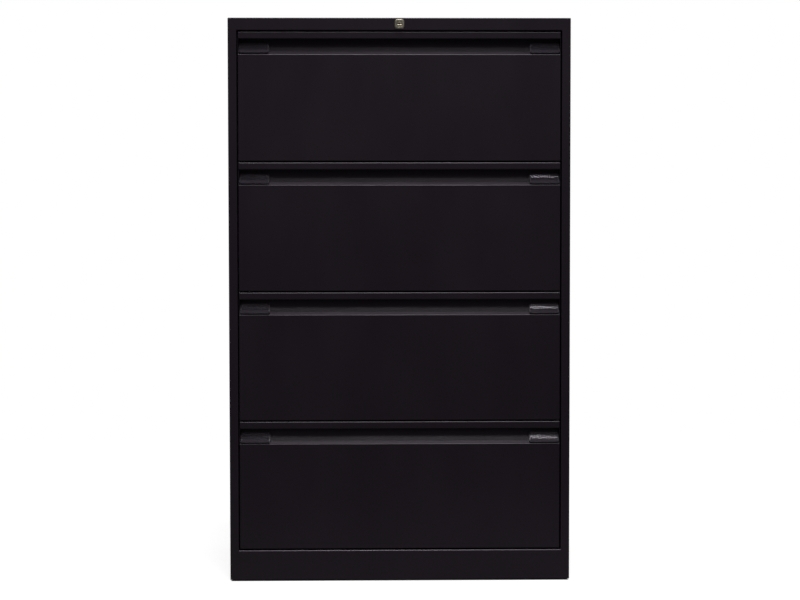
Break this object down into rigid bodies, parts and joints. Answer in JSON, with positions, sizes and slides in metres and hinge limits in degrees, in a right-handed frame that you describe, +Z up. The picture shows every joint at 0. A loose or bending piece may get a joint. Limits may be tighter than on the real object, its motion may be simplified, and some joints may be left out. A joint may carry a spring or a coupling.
{
  "type": "lateral filing cabinet",
  "caption": "Tall steel lateral filing cabinet: wide drawers on telescopic slides, each front with a lip over a full-width scooped grip, and a lock in the top rail.",
  "frame": {"origin": "on the floor, under the middle of the cabinet's outline, lock bezel included", "axes": "+Z up, +Y towards the back, +X towards the cabinet's right as seen from the front"},
  "size_m": [0.8, 0.473, 1.321],
  "materials": {
    "black_paint": "satin powder coat",
    "zinc_plate": "zinc plated",
    "label_plastic": "gloss moulding",
    "satin_nickel": "satin nickel",
    "lock_steel": "plain steel",
    "foot_plastic": "moulded"
  },
  "bodies": {
    "carcass": {"side_panel_left": "black_paint", "side_panel_right": "black_paint", "top_panel": "black_paint", "back_panel": "black_paint", "base_panel": "black_paint", "plinth": "black_paint", "slide_carrier_left": "zinc_plate", "slide_carrier_right": "zinc_plate", "lock_housing": "satin_nickel", "slide_outer_left_1": "zinc_plate", "slide_outer_right_1": "zinc_plate", "slide_outer_left_2": "zinc_plate", "slide_outer_right_2": "zinc_plate", "slide_outer_left_3": "zinc_plate", "slide_outer_right_3": "zinc_plate", "slide_outer_left_4": "zinc_plate", "slide_outer_right_4": "zinc_plate"},
    "drawer_1": {"drawer_front_1": "black_paint", "drawer_body_1": "black_paint", "suspension_frame_1": "zinc_plate", "label_holder_left_1": "label_plastic", "label_holder_right_1": "label_plastic", "slide_inner_left_1": "zinc_plate", "slide_inner_right_1": "zinc_plate"},
    "slide_stage_1": {"slide_middle_left_1": "zinc_plate", "slide_middle_right_1": "zinc_plate"},
    "drawer_2": {"drawer_front_2": "black_paint", "drawer_body_2": "black_paint", "suspension_frame_2": "zinc_plate", "label_holder_left_2": "label_plastic", "label_holder_right_2": "label_plastic", "slide_inner_left_2": "zinc_plate", "slide_inner_right_2": "zinc_plate"},
    "slide_stage_2": {"slide_middle_left_2": "zinc_plate", "slide_middle_right_2": "zinc_plate"},
    "drawer_3": {"drawer_front_3": "black_paint", "drawer_body_3": "black_paint", "suspension_frame_3": "zinc_plate", "label_holder_left_3": "label_plastic", "label_holder_right_3": "label_plastic", "slide_inner_left_3": "zinc_plate", "slide_inner_right_3": "zinc_plate"},
    "slide_stage_3": {"slide_middle_left_3": "zinc_plate", "slide_middle_right_3": "zinc_plate"},
    "drawer_4": {"drawer_front_4": "black_paint", "drawer_body_4": "black_paint", "suspension_frame_4": "zinc_plate", "label_holder_left_4": "label_plastic", "label_holder_right_4": "label_plastic", "slide_inner_left_4": "zinc_plate", "slide_inner_right_4": "zinc_plate"},
    "slide_stage_4": {"slide_middle_left_4": "zinc_plate", "slide_middle_right_4": "zinc_plate"},
    "lock_core": {"lock_plug": "satin_nickel", "lock_cam": "lock_steel"},
    "lock_rod": {"lock_bar": "lock_steel"},
    "foot_front_left": {"foot_front_left": "foot_plastic"},
    "foot_front_right": {"foot_front_right": "foot_plastic"},
    "foot_rear_left": {"foot_rear_left": "foot_plastic"},
    "foot_rear_right": {"foot_rear_right": "foot_plastic"}
  },
  "joints": [
    {"name": "drawer_1_slide", "type": "slide", "parent": "carcass", "child": "drawer_1", "axis": [0, -1, 0], "range_m": [0, 0.41]},
    {"name": "slide_stage_1_slide", "type": "slide", "parent": "carcass", "child": "slide_stage_1", "axis": [0, -1, 0], "range_m": [0, 0.205]},
    {"name": "drawer_2_slide", "type": "slide", "parent": "carcass", "child": "drawer_2", "axis": [0, -1, 0], "range_m": [0, 0.41]},
    {"name": "slide_stage_2_slide", "type": "slide", "parent": "carcass", "child": "slide_stage_2", "axis": [0, -1, 0], "range_m": [0, 0.205]},
    {"name": "drawer_3_slide", "type": "slide", "parent": "carcass", "child": "drawer_3", "axis": [0, -1, 0], "range_m": [0, 0.41]},
    {"name": "slide_stage_3_slide", "type": "slide", "parent": "carcass", "child": "slide_stage_3", "axis": [0, -1, 0], "range_m": [0, 0.205]},
    {"name": "drawer_4_slide", "type": "slide", "parent": "carcass", "child": "drawer_4", "axis": [0, -1, 0], "range_m": [0, 0.41]},
    {"name": "slide_stage_4_slide", "type": "slide", "parent": "carcass", "child": "slide_stage_4", "axis": [0, -1, 0], "range_m": [0, 0.205]},
    {"name": "lock_rod_lift", "type": "slide", "parent": "carcass", "child": "lock_rod", "axis": [0, 0, 1], "range_m": [0, 0.01131]},
    {"name": "lock_turn", "type": "hinge", "parent": "carcass", "child": "lock_core", "pos_m": [0, -0.2335, 1.3065], "axis": [0, -1, 0], "range_deg": [0, 90]},
    {"name": "foot_front_left_screw", "type": "slide", "parent": "carcass", "child": "foot_front_left", "axis": [0, 0, -1], "range_m": [0, 0.015]},
    {"name": "foot_front_right_screw", "type": "slide", "parent": "carcass", "child": "foot_front_right", "axis": [0, 0, -1], "range_m": [0, 0.015]},
    {"name": "foot_rear_left_screw", "type": "slide", "parent": "carcass", "child": "foot_rear_left", "axis": [0, 0, -1], "range_m": [0, 0.015]},
    {"name": "foot_rear_right_screw", "type": "slide", "parent": "carcass", "child": "foot_rear_right", "axis": [0, 0, -1], "range_m": [0, 0.015]}
  ],
  "couplings": [
    {"joint": "slide_stage_1_slide", "follows": "drawer_1_slide", "ratio": 0.5},
    {"joint": "slide_stage_2_slide", "follows": "drawer_2_slide", "ratio": 0.5},
    {"joint": "slide_stage_3_slide", "follows": "drawer_3_slide", "ratio": 0.5},
    {"joint": "slide_stage_4_slide", "follows": "drawer_4_slide", "ratio": 0.5},
    {"joint": "lock_turn", "follows": "lock_rod_lift", "rad_per_m": 138.84}
  ]
}
